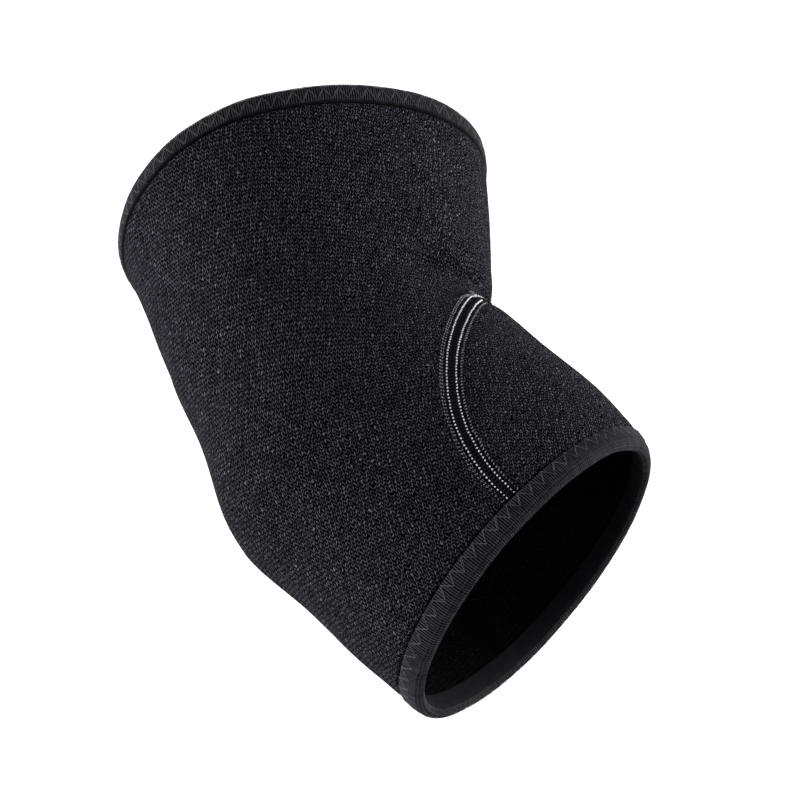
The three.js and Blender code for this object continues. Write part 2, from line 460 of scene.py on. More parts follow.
class Grain:
    """The shader node groups that more than one finish uses."""

    def __init__(self) -> None:
        """Builds both groups."""
        self.knit = self._knit()
        self.fibre = self._fibre()

    def _start(
        self, name: str, numbers: dict[str, float], results: tuple[str, ...]
    ) -> tuple[Wiring, bpy.types.Node, bpy.types.Node]:
        """Starts a group that reads a place on the cloth.

        Args:
            name: The group's name.
            numbers: Its number inputs and their values at the start.
            results: The names of its outputs.

        Returns:
            The group's wiring, its input node and its output node.
        """
        group = bpy.data.node_groups.new(name, "ShaderNodeTree")
        group.interface.new_socket(name="Place", in_out="INPUT", socket_type="NodeSocketVector")
        for number, value in numbers.items():
            socket = group.interface.new_socket(
                name=number, in_out="INPUT", socket_type="NodeSocketFloat"
            )
            socket.default_value = value
        for result in results:
            group.interface.new_socket(name=result, in_out="OUTPUT", socket_type="NodeSocketFloat")
        wiring = Wiring(group)
        return wiring, wiring.node("NodeGroupInput"), wiring.node("NodeGroupOutput")

    def _knit(self) -> bpy.types.NodeTree:
        """Builds wales of V-shaped knit loops, each lit a little differently.

        Returns:
            The group, which puts out the loops' height and their random tone.
        """
        wiring, given, result = self._start(
            "knit_loops",
            {"Wale": 1.4, "Course": 1.4, "Turn": 0.45, "Slant": 0.9, "Evenness": 0.4},
            ("Height", "Tone"),
        )
        warp = wiring.node("ShaderNodeTexNoise", noise_dimensions="2D")
        wiring.feed(warp.inputs["Vector"], given.outputs["Place"])
        warp.inputs["Scale"].default_value = 0.42
        warp.inputs["Detail"].default_value = 2.0
        shift = wiring.math("MULTIPLY_ADD", warp.outputs["Fac"], 1.7, -0.85)
        turned = wiring.node("ShaderNodeVectorRotate", rotation_type="Z_AXIS", invert=True)
        wiring.feed(turned.inputs["Vector"], given.outputs["Place"])
        wiring.feed(turned.inputs["Angle"], given.outputs["Turn"])
        parts = wiring.node("ShaderNodeSeparateXYZ")
        wiring.feed(parts.inputs[0], turned.outputs[0])
        x = wiring.math("DIVIDE", wiring.math("ADD", parts.outputs["X"], shift), given.outputs["Wale"])
        y = wiring.math("DIVIDE", wiring.math("ADD", parts.outputs["Y"], shift), given.outputs["Course"])
        within = wiring.math("FRACT", x)
        beside = wiring.math("ABSOLUTE", wiring.math("SUBTRACT", within, 0.5))
        lift = wiring.math("MULTIPLY", wiring.math("MULTIPLY", beside, 2.0), given.outputs["Slant"])
        sloped = wiring.math("ADD", y, lift)
        twice = wiring.math("MULTIPLY", x, 2.0)
        yarn = wiring.math("SINE", wiring.math("MULTIPLY", wiring.math("FRACT", sloped), math.pi))
        leg = wiring.math("SINE", wiring.math("MULTIPLY", wiring.math("FRACT", twice), math.pi))
        height = wiring.math("MULTIPLY", yarn, wiring.math("POWER", leg, 0.6))
        chance = wiring.node("ShaderNodeTexWhiteNoise", noise_dimensions="2D")
        cell = wiring.vector(wiring.math("FLOOR", twice), wiring.math("FLOOR", sloped))
        wiring.feed(chance.inputs["Vector"], cell)
        bright = wiring.math("POWER", chance.outputs["Value"], 1.4)
        spread = wiring.math("SUBTRACT", 1.0, given.outputs["Evenness"])
        lit = wiring.math("ADD", wiring.math("MULTIPLY", bright, spread), given.outputs["Evenness"])
        near_leg = wiring.math("MULTIPLY_ADD", wiring.math("GREATER_THAN", within, 0.5), 0.35, 0.65)
        lit = wiring.math("MULTIPLY", lit, near_leg)
        wiring.feed(result.inputs["Height"], height)
        raised = wiring.ramp(height, 0.4, 0.95)
        wiring.feed(result.inputs["Tone"], wiring.math("MULTIPLY", raised, lit))
        return wiring.tree

    def _fibre(self) -> bpy.types.NodeTree:
        """Builds the slow and fine unevenness of fibre.

        Returns:
            The group, which puts out a slow cloud and a fine fuzz, both about 0.5.
        """
        wiring, given, result = self._start(
            "fibre", {"Cloud Size": 0.05, "Fuzz Size": 3.0}, ("Cloud", "Fuzz")
        )
        for output, size, detail in (("Cloud", "Cloud Size", 3.0), ("Fuzz", "Fuzz Size", 2.0)):
            noise = wiring.node("ShaderNodeTexNoise", noise_dimensions="3D")
            wiring.feed(noise.inputs["Vector"], given.outputs["Place"])
            wiring.feed(noise.inputs["Scale"], given.outputs[size])
            noise.inputs["Detail"].default_value = detail
            wiring.feed(result.inputs[output], noise.outputs["Fac"])
        return wiring.tree


@dataclass(frozen=True)
class KnitFinish:
    """A padded knit whose loops catch the light unevenly."""

    name: str
    deep: Colour
    lit: Colour
    evenness: float
    sheen: float
    relief: float = 0.3

    def material(self, grain: Grain) -> bpy.types.Material:
        """Builds the material, which reads the piece's own UV map in millimetres.

        Args:
            grain: The shared node groups.

        Returns:
            The new material.
        """
        material, wiring, shader = start_material(self.name)
        place = wiring.node("ShaderNodeUVMap", uv_map=UV_NAME).outputs["UV"]
        knit = wiring.node("ShaderNodeGroup", node_tree=grain.knit)
        wiring.feed(knit.inputs["Place"], place)
        knit.inputs["Evenness"].default_value = self.evenness
        fibre = wiring.node("ShaderNodeGroup", node_tree=grain.fibre)
        wiring.feed(fibre.inputs["Place"], place)
        fuzz = wiring.ramp(fibre.outputs["Fuzz"], -0.2, 0.7)
        tone = wiring.math("MULTIPLY", knit.outputs["Tone"], fuzz)
        cloud = wiring.math("MULTIPLY_ADD", fibre.outputs["Cloud"], 0.3, 0.85)
        # Painted shade: along the seams the knit's tone is cut by up to three quarters, where the panels
        # meet.
        press_and_shade = wiring.node("ShaderNodeAttribute", attribute_name=PRESS_AND_SHADE).outputs["Fac"]
        clear_of_seam_shade = wiring.math("MULTIPLY_ADD", press_and_shade, -0.75, 1.0)
        tone = wiring.math("MULTIPLY", wiring.math("MULTIPLY", tone, cloud), clear_of_seam_shade)
        wiring.feed(shader.inputs["Base Color"], wiring.mix(tone, self.deep, self.lit))
        rough = wiring.math("MULTIPLY_ADD", knit.outputs["Height"], -0.12, 0.9)
        wiring.feed(shader.inputs["Roughness"], rough)
        height = wiring.math("MULTIPLY_ADD", fibre.outputs["Fuzz"], 0.3, knit.outputs["Height"])
        wiring.feed(shader.inputs["Normal"], wiring.bump(height, 1.0, self.relief))
        shader.inputs["Specular IOR Level"].default_value = 0.005
        shader.inputs["Sheen Weight"].default_value = self.sheen
        shader.inputs["Sheen Roughness"].default_value = 0.45
        shader.inputs["Sheen Tint"].default_value = (0.80, 0.82, 1.0, 1.0)
        return material


@dataclass(frozen=True)
class ThreadFinish:
    """A spun thread or a woven tape, with fine uneven fibre."""

    name: str
    deep: Colour
    lit: Colour
    roughness: float
    relief: float = 0.15

    def material(self, grain: Grain) -> bpy.types.Material:
        """Builds the material, which reads Object coordinates.

        Args:
            grain: The shared node groups.

        Returns:
            The new material.
        """
        material, wiring, shader = start_material(self.name)
        scale = wiring.node("ShaderNodeMapping")
        wiring.feed(scale.inputs["Vector"], wiring.node("ShaderNodeTexCoord").outputs["Object"])
        scale.inputs["Scale"].default_value = (1 / MM, 1 / MM, 1 / MM)
        fibre = wiring.node("ShaderNodeGroup", node_tree=grain.fibre)
        wiring.feed(fibre.inputs["Place"], scale.outputs["Vector"])
        fibre.inputs["Cloud Size"].default_value = 0.35
        fibre.inputs["Fuzz Size"].default_value = 4.0
        mixed = wiring.math("MULTIPLY_ADD", fibre.outputs["Cloud"], 0.9, -0.2)
        tone = wiring.math("MULTIPLY_ADD", fibre.outputs["Fuzz"], 0.6, mixed)
        wiring.feed(shader.inputs["Base Color"], wiring.mix(tone, self.deep, self.lit))
        rough = wiring.math("MULTIPLY_ADD", fibre.outputs["Fuzz"], 0.2, self.roughness - 0.1)
        wiring.feed(shader.inputs["Roughness"], rough)
        wiring.feed(shader.inputs["Normal"], wiring.bump(fibre.outputs["Fuzz"], 0.6, self.relief))
        shader.inputs["Specular IOR Level"].default_value = 0.05
        return material


def start_material(name: str) -> tuple[bpy.types.Material, Wiring, bpy.types.Node]:
    """Starts a material with a bare Principled shader.

    Args:
        name: The material's name.

    Returns:
        The material, the wiring of its tree and its shader node.
    """
    material = bpy.data.materials.new(name)
    material.use_nodes = True
    wiring = Wiring(material.node_tree)
    return material, wiring, material.node_tree.nodes["Principled BSDF"]


class Slot(Enum):
    """Names of material slots."""

    KNIT = "knit"
    BINDING = "binding"
    THREAD = "thread"


def dress(
    mesh: bpy.types.Mesh,
    name: str,
    materials: list[bpy.types.Material],
    nodes: tuple[str, ...] = (),
) -> bpy.types.Object:
    """Makes a mesh a piece of the brace.

    Args:
        mesh: The mesh, in metres.
        name: The piece's name.
        materials: Its materials.
        nodes: The CAD nodes that it stands for.

    Returns:
        The new piece.
    """
    mesh.name = name
    for material in materials:
        mesh.materials.append(material)
    piece = bpy.data.objects.new(name, mesh)
    bpy.context.scene.collection.objects.link(piece)
    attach(piece, BODY)
    if nodes:
        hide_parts(*nodes)
    LOG.info("%s: %d faces", name, len(mesh.polygons))
    return piece


def wrap(bm: bmesh.types.BMesh, along: np.ndarray, angle: np.ndarray, height: np.ndarray) -> None:
    """Moves every vertex to its place on the sleeve, in metres.

    Args:
        bm: The mesh.
        along: Each vertex's length along the arm line.
        angle: Each vertex's angle round it.
        height: Each vertex's height over the outer face.
    """
    for vert, point in zip(bm.verts, FORM.points(along, angle, height) * MM):
        vert.co = point


def to_mesh(bm: bmesh.types.BMesh) -> bpy.types.Mesh:
    """Shades a closed mesh smooth, but for its corners, and frees it.

    Args:
        bm: The mesh.

    Returns:
        The finished mesh.
    """
    for face in bm.faces:
        face.smooth = True
    for edge in bm.edges:
        edge.smooth = len(edge.link_faces) < 2 or edge.calc_face_angle(0) < SHARP_EDGE
    mesh = bpy.data.meshes.new("cloth")
    bm.to_mesh(mesh)
    bm.free()
    return mesh


@dataclass
class KnitPanel:
    """A panel of padded knit, cut flat along its outline and wrapped onto the sleeve."""

    name: str
    nodes: tuple[str, ...]
    middle: float
    gap: float = 0.02
    hem_dip: float = 1.0
    hem_tuck: float = 0.7
    swell: float = 0.25
    beside_seam: float = 7.0
    beside_hem: float = 3.5

    def outline(self) -> list[tuple[float, float]]:
        """The cut line as angles and lengths, counted round as seen from outside."""
        raise NotImplementedError

    def _lines(self) -> tuple[np.ndarray, np.ndarray]:
        """Where the flat cloth is divided, closest near the crook and the rims.

        Returns:
            The angles and the lengths of the dividing lines.
        """
        near = np.arange(-112, 112, 1.6)
        back = np.arange(112, 248, 3.4)
        angles = np.concatenate([near, back, np.arange(248, 472, 1.6)])
        low = -FORM.forearm_length
        high = FORM.upper_length
        alongs = np.concatenate(
            [
                np.arange(low + 3, low + 6.6, 1.2),
                np.arange(low + 6.6, low + 9, 0.4),
                np.arange(low + 9, low + 14, 1.25),
                np.arange(low + 14, 9, 2.4),
                np.arange(9, 32, 0.95),
                np.arange(32, high - 14, 2.6),
                np.arange(high - 14, high - 7.8, 1.25),
                np.arange(high - 7.8, high - 5, 0.4),
                np.arange(high - 5, high - 3, 1.0),
            ]
        )
        return angles, alongs

    def _cut(self) -> bmesh.types.BMesh:
        """Cuts the flat cloth, divides it and gives it its wall.

        Returns:
            The flat cloth, with x to the right as seen from outside, from -wall up to 0.
        """
        bm = bmesh.new()
        outline = self.outline()
        bm.faces.new([bm.verts.new((-angle, along, 0)) for angle, along in outline])
        angles, alongs = self._lines()
        low = min(angle for angle, _ in outline)
        high = max(angle for angle, _ in outline)
        cuts = [((-angle, 0, 0), (1, 0, 0)) for angle in angles if low < angle < high]
        cuts += [((0, along, 0), (0, 1, 0)) for along in alongs]
        for point, normal in cuts:
            geom = bm.verts[:] + bm.edges[:] + bm.faces[:]
            bmesh.ops.bisect_plane(bm, geom=geom, dist=0.02, plane_co=point, plane_no=normal)
        bmesh.ops.remove_doubles(bm, verts=bm.verts, dist=0.12)
        bmesh.ops.dissolve_degenerate(bm, edges=bm.edges, dist=0.02)
        bmesh.ops.recalc_face_normals(bm, faces=bm.faces)
        if sum(face.normal.z for face in bm.faces) < 0:
            bmesh.ops.reverse_faces(bm, faces=bm.faces)
        bmesh.ops.solidify(bm, geom=bm.faces[:], thickness=FORM.wall)
        highest = max(vert.co.z for vert in bm.verts)
        bmesh.ops.translate(bm, verts=bm.verts, vec=(0, 0, -highest))
        bmesh.ops.recalc_face_normals(bm, faces=bm.faces)
        return bm

    def _padding(self, along: np.ndarray, angle: np.ndarray) -> tuple[np.ndarray, ...]:
        """How the padding swells, and dips toward the seams and under the hems.

        Args:
            along: Lengths along the arm line.
            angle: Angles round it.

        Returns:
            The height to add to the outer face, the height to add to the inner face, and how hard the
            seams bear on the knit, from 0 to 1, which also sets the painted shade along the seams.
        """
        from_seam = np.minimum(
            np.abs(FORM.from_gusset_edge(along, angle)), FORM.from_closing_line(along, angle)
        )
        from_hem = np.minimum(
            along + FORM.forearm_length - FORM.hem_reach, FORM.upper_length - FORM.upper_hem_reach - along
        )
        past_hem = np.clip(from_hem / self.hem_tuck, 0, 1)
        tucked = self.hem_dip * (1 - past_hem * past_hem * (3 - 2 * past_hem))
        press_and_shade = FORM.press_and_shade(from_seam)
        puff = self.swell * np.exp(-(((from_seam - self.beside_seam) / 3.5) ** 2))
        puff += self.swell * np.exp(-(((from_hem - self.beside_hem) / 3) ** 2))
        dip = np.maximum(FORM.seam_dip * press_and_shade, tucked)
        return np.minimum(puff, self.swell) - dip, tucked, press_and_shade

    def build(self, materials: list[bpy.types.Material]) -> bpy.types.Object:
        """Builds the panel.

        Args:
            materials: The knit of the outer face, and a darker copy of it for the inner face, which paints
                the shade inside the sleeve.

        Returns:
            The finished piece.
        """
        bm = self._cut()
        flat = np.array([vert.co for vert in bm.verts])
        along = flat[:, 1]
        angle = -flat[:, 0]
        share = 1 + flat[:, 2] / FORM.wall
        outer, inner, press_and_shade = self._padding(along, angle)
        lengths = ClothLengths(self.middle).at(along, angle)
        layer = bm.loops.layers.uv.new(UV_NAME)
        # The seams' share goes into an attribute that the knit material uses to paint shade along the
        # seams.
        shade_layer = bm.verts.layers.float.new(PRESS_AND_SHADE)
        for vert in bm.verts:
            vert[shade_layer] = press_and_shade[vert.index]
        for face in bm.faces:
            # Inner faces take the second material, the darker copy of the knit that paints the shade inside
            # the sleeve.
            face.material_index = int(face.calc_center_median().z < -FORM.wall / 2)
            for loop in face.loops:
                loop[layer].uv = lengths[loop.vert.index]
        wrap(bm, along, angle, flat[:, 2] + outer * share + inner * (1 - share))
        return dress(to_mesh(bm), self.name, materials, self.nodes)


class BodyPanel(KnitPanel):
    """The main panel, whose two edges meet along the front of the upper arm."""

    def outline(self) -> list[tuple[float, float]]:
        """The cut line, from the gusset's edge round the rims and back."""
        high = FORM.upper_length - FORM.fold_radius
        end = FORM.gusset_turn(FORM.fold_radius)
        along, angle = FORM.gusset_edge(np.linspace(-end, -1.0, 60))
        right = [(turn + self.gap, place) for turn, place in zip(angle, along)]
        left = [(360 - turn, place) for turn, place in reversed(right)]
        tip = FORM.gusset_length - FORM.forearm_length + self.gap
        top = [(self.gap, tip), (self.gap, high), (360 - self.gap, high), (360 - self.gap, tip)]
        return right + top + left


class GussetPanel(KnitPanel):
    """The tongue of knit let into the crook side of the forearm."""

    def outline(self) -> list[tuple[float, float]]:
        """The cut line, from the rim's outer side over the tip to its inner side."""
        end = FORM.gusset_turn(FORM.fold_radius)
        along, angle = FORM.gusset_edge(np.linspace(-end, end, 120))
        return [
            (turn - math.copysign(self.gap, turn), place - self.gap)
            for turn, place in zip(angle, along)
        ]


@dataclass
class Threads:
    """Threads of one thickness, laid on the sleeve and joined in one piece."""

    name: str
    radius: float
    sides: int = 1
    curve: bpy.types.Curve = field(init=False)

    def __post_init__(self) -> None:
        """Starts the curve that holds the threads."""
        self.curve = bpy.data.curves.new(self.name, "CURVE")
        self.curve.dimensions = "3D"
        self.curve.bevel_depth = self.radius * MM
        self.curve.bevel_resolution = self.sides
        self.curve.use_fill_caps = True

    def lay(
        self,
        along: np.ndarray,
        angle: np.ndarray,
        height: np.ndarray,
        widths: tuple[float, ...] = (),
        closed: bool = False,
    ) -> None:
        """Lays threads along places on the sleeve.

        Args:
            along: Lengths along the arm line, one row for each thread.
            angle: Angles round it, one row for each thread.
            height: Heights over the outer face.
            widths: The share of the radius at each place of a thread.
            closed: Whether each thread runs back to its start.
        """
        points = FORM.points(np.atleast_2d(along), np.atleast_2d(angle), height) * MM
        for row in points:
            spline = self.curve.splines.new("POLY")
            spline.points.add(len(row) - 1)
            spline.points.foreach_set("co", np.pad(row, ((0, 0), (0, 1)), constant_values=1).ravel())
            if widths:
                spline.points.foreach_set("radius", widths)
            spline.use_cyclic_u = closed
            spline.use_smooth = True

    def finish(
        self, slot: Slot, material: bpy.types.Material, nodes: tuple[str, ...] = ()
    ) -> bpy.types.Object:
        """Turns the threads into one piece.

        Args:
            slot: Not used.
            material: The thread's material.
            nodes: The CAD nodes that it stands for.

        Returns:
            The finished piece.
        """
        holder = bpy.data.objects.new(self.name, self.curve)
        mesh = bpy.data.meshes.new_from_object(holder)
        bpy.data.objects.remove(holder)
        bpy.data.curves.remove(self.curve)
        mesh.materials.clear()
        for polygon in mesh.polygons:
            polygon.use_smooth = True
        return dress(mesh, self.name, [material], nodes)


@dataclass
class SeamTrack:
    """A seam's middle line, measured over the surface."""

    along: np.ndarray
    angle: np.ndarray
    probe: float = 0.8
    run: np.ndarray = field(init=False)

    def __post_init__(self) -> None:
        """Measures the line."""
        strides = np.linalg.norm(np.diff(FORM.points(self.along, self.angle, 0), axis=0), axis=1)
        self.run = np.concatenate([[0], np.cumsum(strides)])

    @property
    def length(self) -> float:
        """The line's whole length."""
        return float(self.run[-1])

    def beside(self, run: np.ndarray, off: np.ndarray) -> tuple[np.ndarray, np.ndarray]:
        """Places beside the line.

        Args:
            run: Lengths along the line.
            off: Distances to its right, as seen from outside.

        Returns:
            The lengths along the arm line and the angles round it.
        """
        run, off = np.broadcast_arrays(run, off)
        along = np.interp(run, self.run, self.along)
        angle = np.interp(run, self.run, self.angle)
        ahead = np.minimum(run + self.probe, self.length)
        behind = np.maximum(run - self.probe, 0)
        per_along, per_angle = FORM.stretch(along, angle)
        up = np.interp(ahead, self.run, self.along) - np.interp(behind, self.run, self.along)
        round_it = np.interp(ahead, self.run, self.angle) - np.interp(behind, self.run, self.angle)
        up = up * per_along
        round_it = round_it * per_angle
        size = np.maximum(np.hypot(up, round_it), 1e-6)
        return along + round_it / size * off / per_along, angle - up / size * off / per_angle


@dataclass
class FlatlockSeam:
    """A flatlock seam: two bright rows of stitches, with fainter threads between and outside them."""

    name: str
    node: str
    track: SeamTrack
    row_offset: float = 1.45
    row_radius: float = 0.27
    cover_radius: float = 0.17
    loop_radius: float = 0.18
    pitch: float = 1.25
    bed: float = -0.5

    def _starts(self) -> np.ndarray:
        """The stitches' middles along the seam, one to a row."""
        count = int(self.track.length / self.pitch)
        return (np.arange(count)[:, None] + 0.5) * self.track.length / count

    def _stitches(
        self,
        threads: Threads,
        offset: float,
        height: float,
        half: float,
        slant: float,
        chance: np.random.Generator,
    ) -> None:
        """Lays a row of short stitches whose ends sink into the cloth.

        Args:
            threads: The threads to add to.
            offset: The row's distance to the right of the seam's middle line.
            height: The height of the stitches' ends over the outer face.
            half: Half a stitch's length, as a share of the pitch.
            slant: How far a stitch leans across the row, in millimetres.
            chance: The source of unevenness.
        """
        starts = self._starts()
        shape = np.array([-1.0, -0.55, 0.0, 0.55, 1.0])
        hump = np.array([0.0, 0.5, 0.7, 0.5, 0.0])
        run = starts + shape * half * self.pitch
        off = offset + chance.normal(0, 0.05, starts.shape) + shape * slant / 2
        lift = chance.normal(0, 0.04, starts.shape)
        threads.lay(*self.track.beside(run, off), height + hump + lift, (0.45, 0.9, 1.0, 0.9, 0.45))

    def _loops(self) -> Threads:
        """Lays the threads that cross from row to row."""
        loops = Threads(f"{self.name}_loops", self.loop_radius, 0)
        across = np.array([-1.0, -0.6, 0.0, 0.6, 1.0])
        for lean in (-1, 1):
            run = self._starts() + across * lean * self.pitch * 0.5
            arch = np.array([0.0, 0.12, 0.16, 0.12, 0.0]) + 0.04 * lean
            loops.lay(*self.track.beside(run, across * self.row_offset), self.bed - 0.05 + arch)
        return loops

    def build(
        self, bright: bpy.types.Material, faint: bpy.types.Material, dark: bpy.types.Material
    ) -> list[bpy.types.Object]:
        """Sews the seam.

        Args:
            bright: The material of the two rows.
            faint: The material of the threads outside them.
            dark: The material of the threads between them.

        Returns:
            The finished pieces, the bright rows first.
        """
        chance = np.random.default_rng(11)
        rows = Threads(f"{self.name}_rows", self.row_radius)
        for side in (-1, 1):
            self._stitches(rows, side * self.row_offset, self.bed - 0.5, 0.14, 0.12, chance)
        covers = Threads(f"{self.name}_covers", self.cover_radius, 0)
        for offset, slant in ((-2.8, 0.3), (-3.5, -0.4), (3.0, 0.9)):
            ground = -FORM.seam_dip * float(FORM.press_and_shade(np.array(offset)))
            self._stitches(covers, offset, ground - 0.42, 0.2, slant, chance)
        return [
            rows.finish(Slot.THREAD, bright, (self.node,)),
            covers.finish(Slot.THREAD, faint),
            self._loops().finish(Slot.THREAD, dark),
        ]


@dataclass
class Hem:
    """The binding folded over a rim, with its bars, its zigzag and its rim threads."""

    name: str
    node: str
    rim: float
    inward: int
    reach: float
    roundness: float = 3.2
    edge_drop: float = 0.6
    cloth: float = 1.0
    bar_pitch: float = 0.78
    bar_radius: float = 0.2
    zigzag_pitch: float = 4.9
    zigzag_width: float = 3.5
    zigzag_radius: float = 0.085
    line_radius: float = 0.08
    angles: np.ndarray = field(init=False)
    run: np.ndarray = field(init=False)

    def __post_init__(self) -> None:
        """Measures the way round the rim at every degree."""
        self.angles = np.linspace(0, 360, 361)
        ring = FORM.points(self.rim, self.angles, 0)
        strides = np.linalg.norm(np.diff(ring, axis=0), axis=1)
        self.run = np.concatenate([[0], np.cumsum(strides)])

    @property
    def girth(self) -> float:
        """The rim's whole girth."""
        return float(self.run[-1])

    def _places(self, share: np.ndarray) -> np.ndarray:
        """Angles round the rim at even lengths.

        Args:
            share: Shares of the girth.

        Returns:
            The angle at each share.
        """
        turns = np.floor(share)
        return turns * 360 + np.interp((share - turns) * self.girth, self.run, self.angles)

    def _section(self, turn: np.ndarray, lift: float = 0.0) -> tuple[np.ndarray, np.ndarray]:
        """Places on the binding's rounded edge.

        Args:
            turn: From 0 on the outer face over 90 at the very rim to 180 on the inner face.
            lift: The height over the binding.

        Returns:
            The distances from the rim and the heights over the wall's outer face.
        """
        sin = np.sin(np.radians(turn))
        cos = np.cos(np.radians(turn))
        from_rim = self.roundness - (self.roundness + lift) * sin
        return from_rim, (FORM.fold_radius + lift) * cos - FORM.wall / 2

    def _surface(self, from_rim: np.ndarray) -> np.ndarray:
        """The height of the binding's outer face.

        Args:
            from_rim: Distances from the rim's very edge.

        Returns:
            The height over the wall's outer face.
        """
        sin = np.clip((self.roundness - from_rim) / self.roundness, 0, 1)
        rounded = FORM.fold_radius * np.sqrt(1 - sin * sin) - FORM.wall / 2
        past_face = np.clip((from_rim - self.reach + self.edge_drop) / self.edge_drop, 0, 1)
        return rounded - self.edge_drop * past_face**2

    def _binding(self, material: bpy.types.Material) -> bpy.types.Object:
        """Spins the binding's folded section round the sleeve.

        Args:
            material: The tape's material.

        Returns:
            The finished piece.
        """
        tube = 50.0
        near = self.roundness * (1 - np.cos(np.radians(np.linspace(0, 80, 8))))
        reach = np.concatenate([near, np.linspace(self.roundness + 0.3, self.reach, 8)])
        outer = [(d, self._surface(d)) for d in reach[::-1]]
        outside = outer + [(d, -FORM.wall - h) for d, h in outer[-2::-1]]
        lining = [(d, h - self.cloth) for d, h in outer if d > self.cloth]
        inside = [(d, -FORM.wall - h) for d, h in lining]
        loop = outside + inside + lining[::-1]
        bm = bmesh.new()
        verts = [bm.verts.new((tube + h, self.rim + self.inward * d, 0)) for d, h in loop]
        for first, second in zip(verts, verts[1:] + verts[:1]):
            bm.edges.new((first, second))
        bmesh.ops.spin(
            bm,
            geom=bm.verts[:] + bm.edges[:],
            axis=(0, 1, 0),
            cent=(0, 0, 0),
            steps=220,
            angle=math.tau,
            use_merge=True,
        )
        bmesh.ops.remove_doubles(bm, verts=bm.verts, dist=0.001)
        flat = np.array([vert.co for vert in bm.verts])
        angle = np.degrees(np.arctan2(flat[:, 2], flat[:, 0]))
        wrap(bm, flat[:, 1], angle, np.hypot(flat[:, 0], flat[:, 2]) - tube)
        bmesh.ops.recalc_face_normals(bm, faces=bm.faces)
        return dress(to_mesh(bm), self.name, [material], (self.node,))

    def _lay(
        self, threads: Threads, from_rim: np.ndarray, share: np.ndarray, height: np.ndarray, **kind: object
    ) -> None:
        """Lays threads on the binding by their distance from the rim.

        Args:
            threads: The threads to add to.
            from_rim: Distances from the rim's edge.
            share: Shares of the girth.
            height: Heights over the wall's outer face.
            kind: What Threads.lay takes besides.
        """
        threads.lay(self.rim + self.inward * from_rim, self._places(share), height, **kind)

    def _bars(self, chance: np.random.Generator) -> Threads:
        """Lays the bars that run over the binding from face to face.

        Args:
            chance: The source of unevenness.

        Returns:
            The bars.
        """
        bars = Threads(f"{self.name}_bars", self.bar_radius, 0)
        count = round(self.girth / self.bar_pitch)
        share = ((np.arange(count) + chance.normal(0, 0.06, count)) / count)[:, None]
        from_rim, height = self._section(np.array([0.0, 30.0, 65.0, 100.0, 135.0, 150.0]), 0.04)
        from_rim = np.concatenate([[self.reach - 0.3, self.reach - 0.6], from_rim])
        height = np.concatenate([height[:1] - 0.3, height[:1], height[:-1], height[-1:] + 0.3])
        from_rim = from_rim + chance.normal(0, 0.04, (count, 1))
        widths = (0.6, 1, 1, 1, 1, 1, 1, 0.6)
        self._lay(bars, from_rim, share + 0 * from_rim, height, widths=widths)
        return bars

    def _zigzag(self, chance: np.random.Generator) -> Threads:
        """Lays the zigzag that holds the binding down.

        Args:
            chance: The source of unevenness.

        Returns:
            The zigzag.
        """
        zigzag = Threads(f"{self.name}_zigzag", self.zigzag_radius, 0)
        periods = round(self.girth / self.zigzag_pitch)
        phase = np.arange(periods * 4) / 4
        wave = np.abs((phase % 1) * 2 - 1)
        for strand in range(2):
            share = (phase + strand * 0.05 + 0.03 * np.sin(phase * 2.3 + strand)) / periods
            from_rim = self.reach - 0.4 - self.zigzag_width * wave + chance.normal(0, 0.16, phase.size)
            height = self._surface(from_rim) + 0.28 + 0.04 * strand
            self._lay(zigzag, from_rim, share, height, closed=True)
        return zigzag

    def _rim_lines(self) -> Threads:
        """Lays the fine threads that run along the rim."""
        lines = Threads(f"{self.name}_lines", self.line_radius, 0)
        around = np.arange(500) / 500
        for turn in (28.0, 48.0, 68.0, 96.0):
            from_rim, height = self._section(turn + 2 * np.sin(around * 260), 0.22)
            self._lay(lines, from_rim, around, height, closed=True)
        return lines

    def build(
        self, tape: bpy.types.Material, rib: bpy.types.Material, grey: bpy.types.Material
    ) -> list[bpy.types.Object]:
        """Builds the binding and sews it.

        Args:
            tape: The binding's material.
            rib: The material of the bars and the rim threads.
            grey: The material of the zigzag.

        Returns:
            The finished pieces, the binding first.
        """
        chance = np.random.default_rng(5)
        bars = self._bars(chance)
        zigzag = self._zigzag(chance)
        return [
            self._binding(tape),
            bars.finish(Slot.THREAD, rib),
            zigzag.finish(Slot.THREAD, grey),
            self._rim_lines().finish(Slot.THREAD, rib),
        ]


# Each light's name, its place in metres, the length of its side and its power in watts.
STUDIO_LIGHTS = (
    ("key", (0.1, 0.2, 1.1), 0.9, 1.0),
    ("back", (0.0, 0.95, 0.4), 0.7, 4.0),
    ("left", (-0.95, 0.15, 0.08), 0.6, 18.0),
    ("right", (0.95, 0.05, 0.12), 0.6, 17.0),
    ("front", (0.1, -0.95, 0.4), 0.6, 4.5),
)


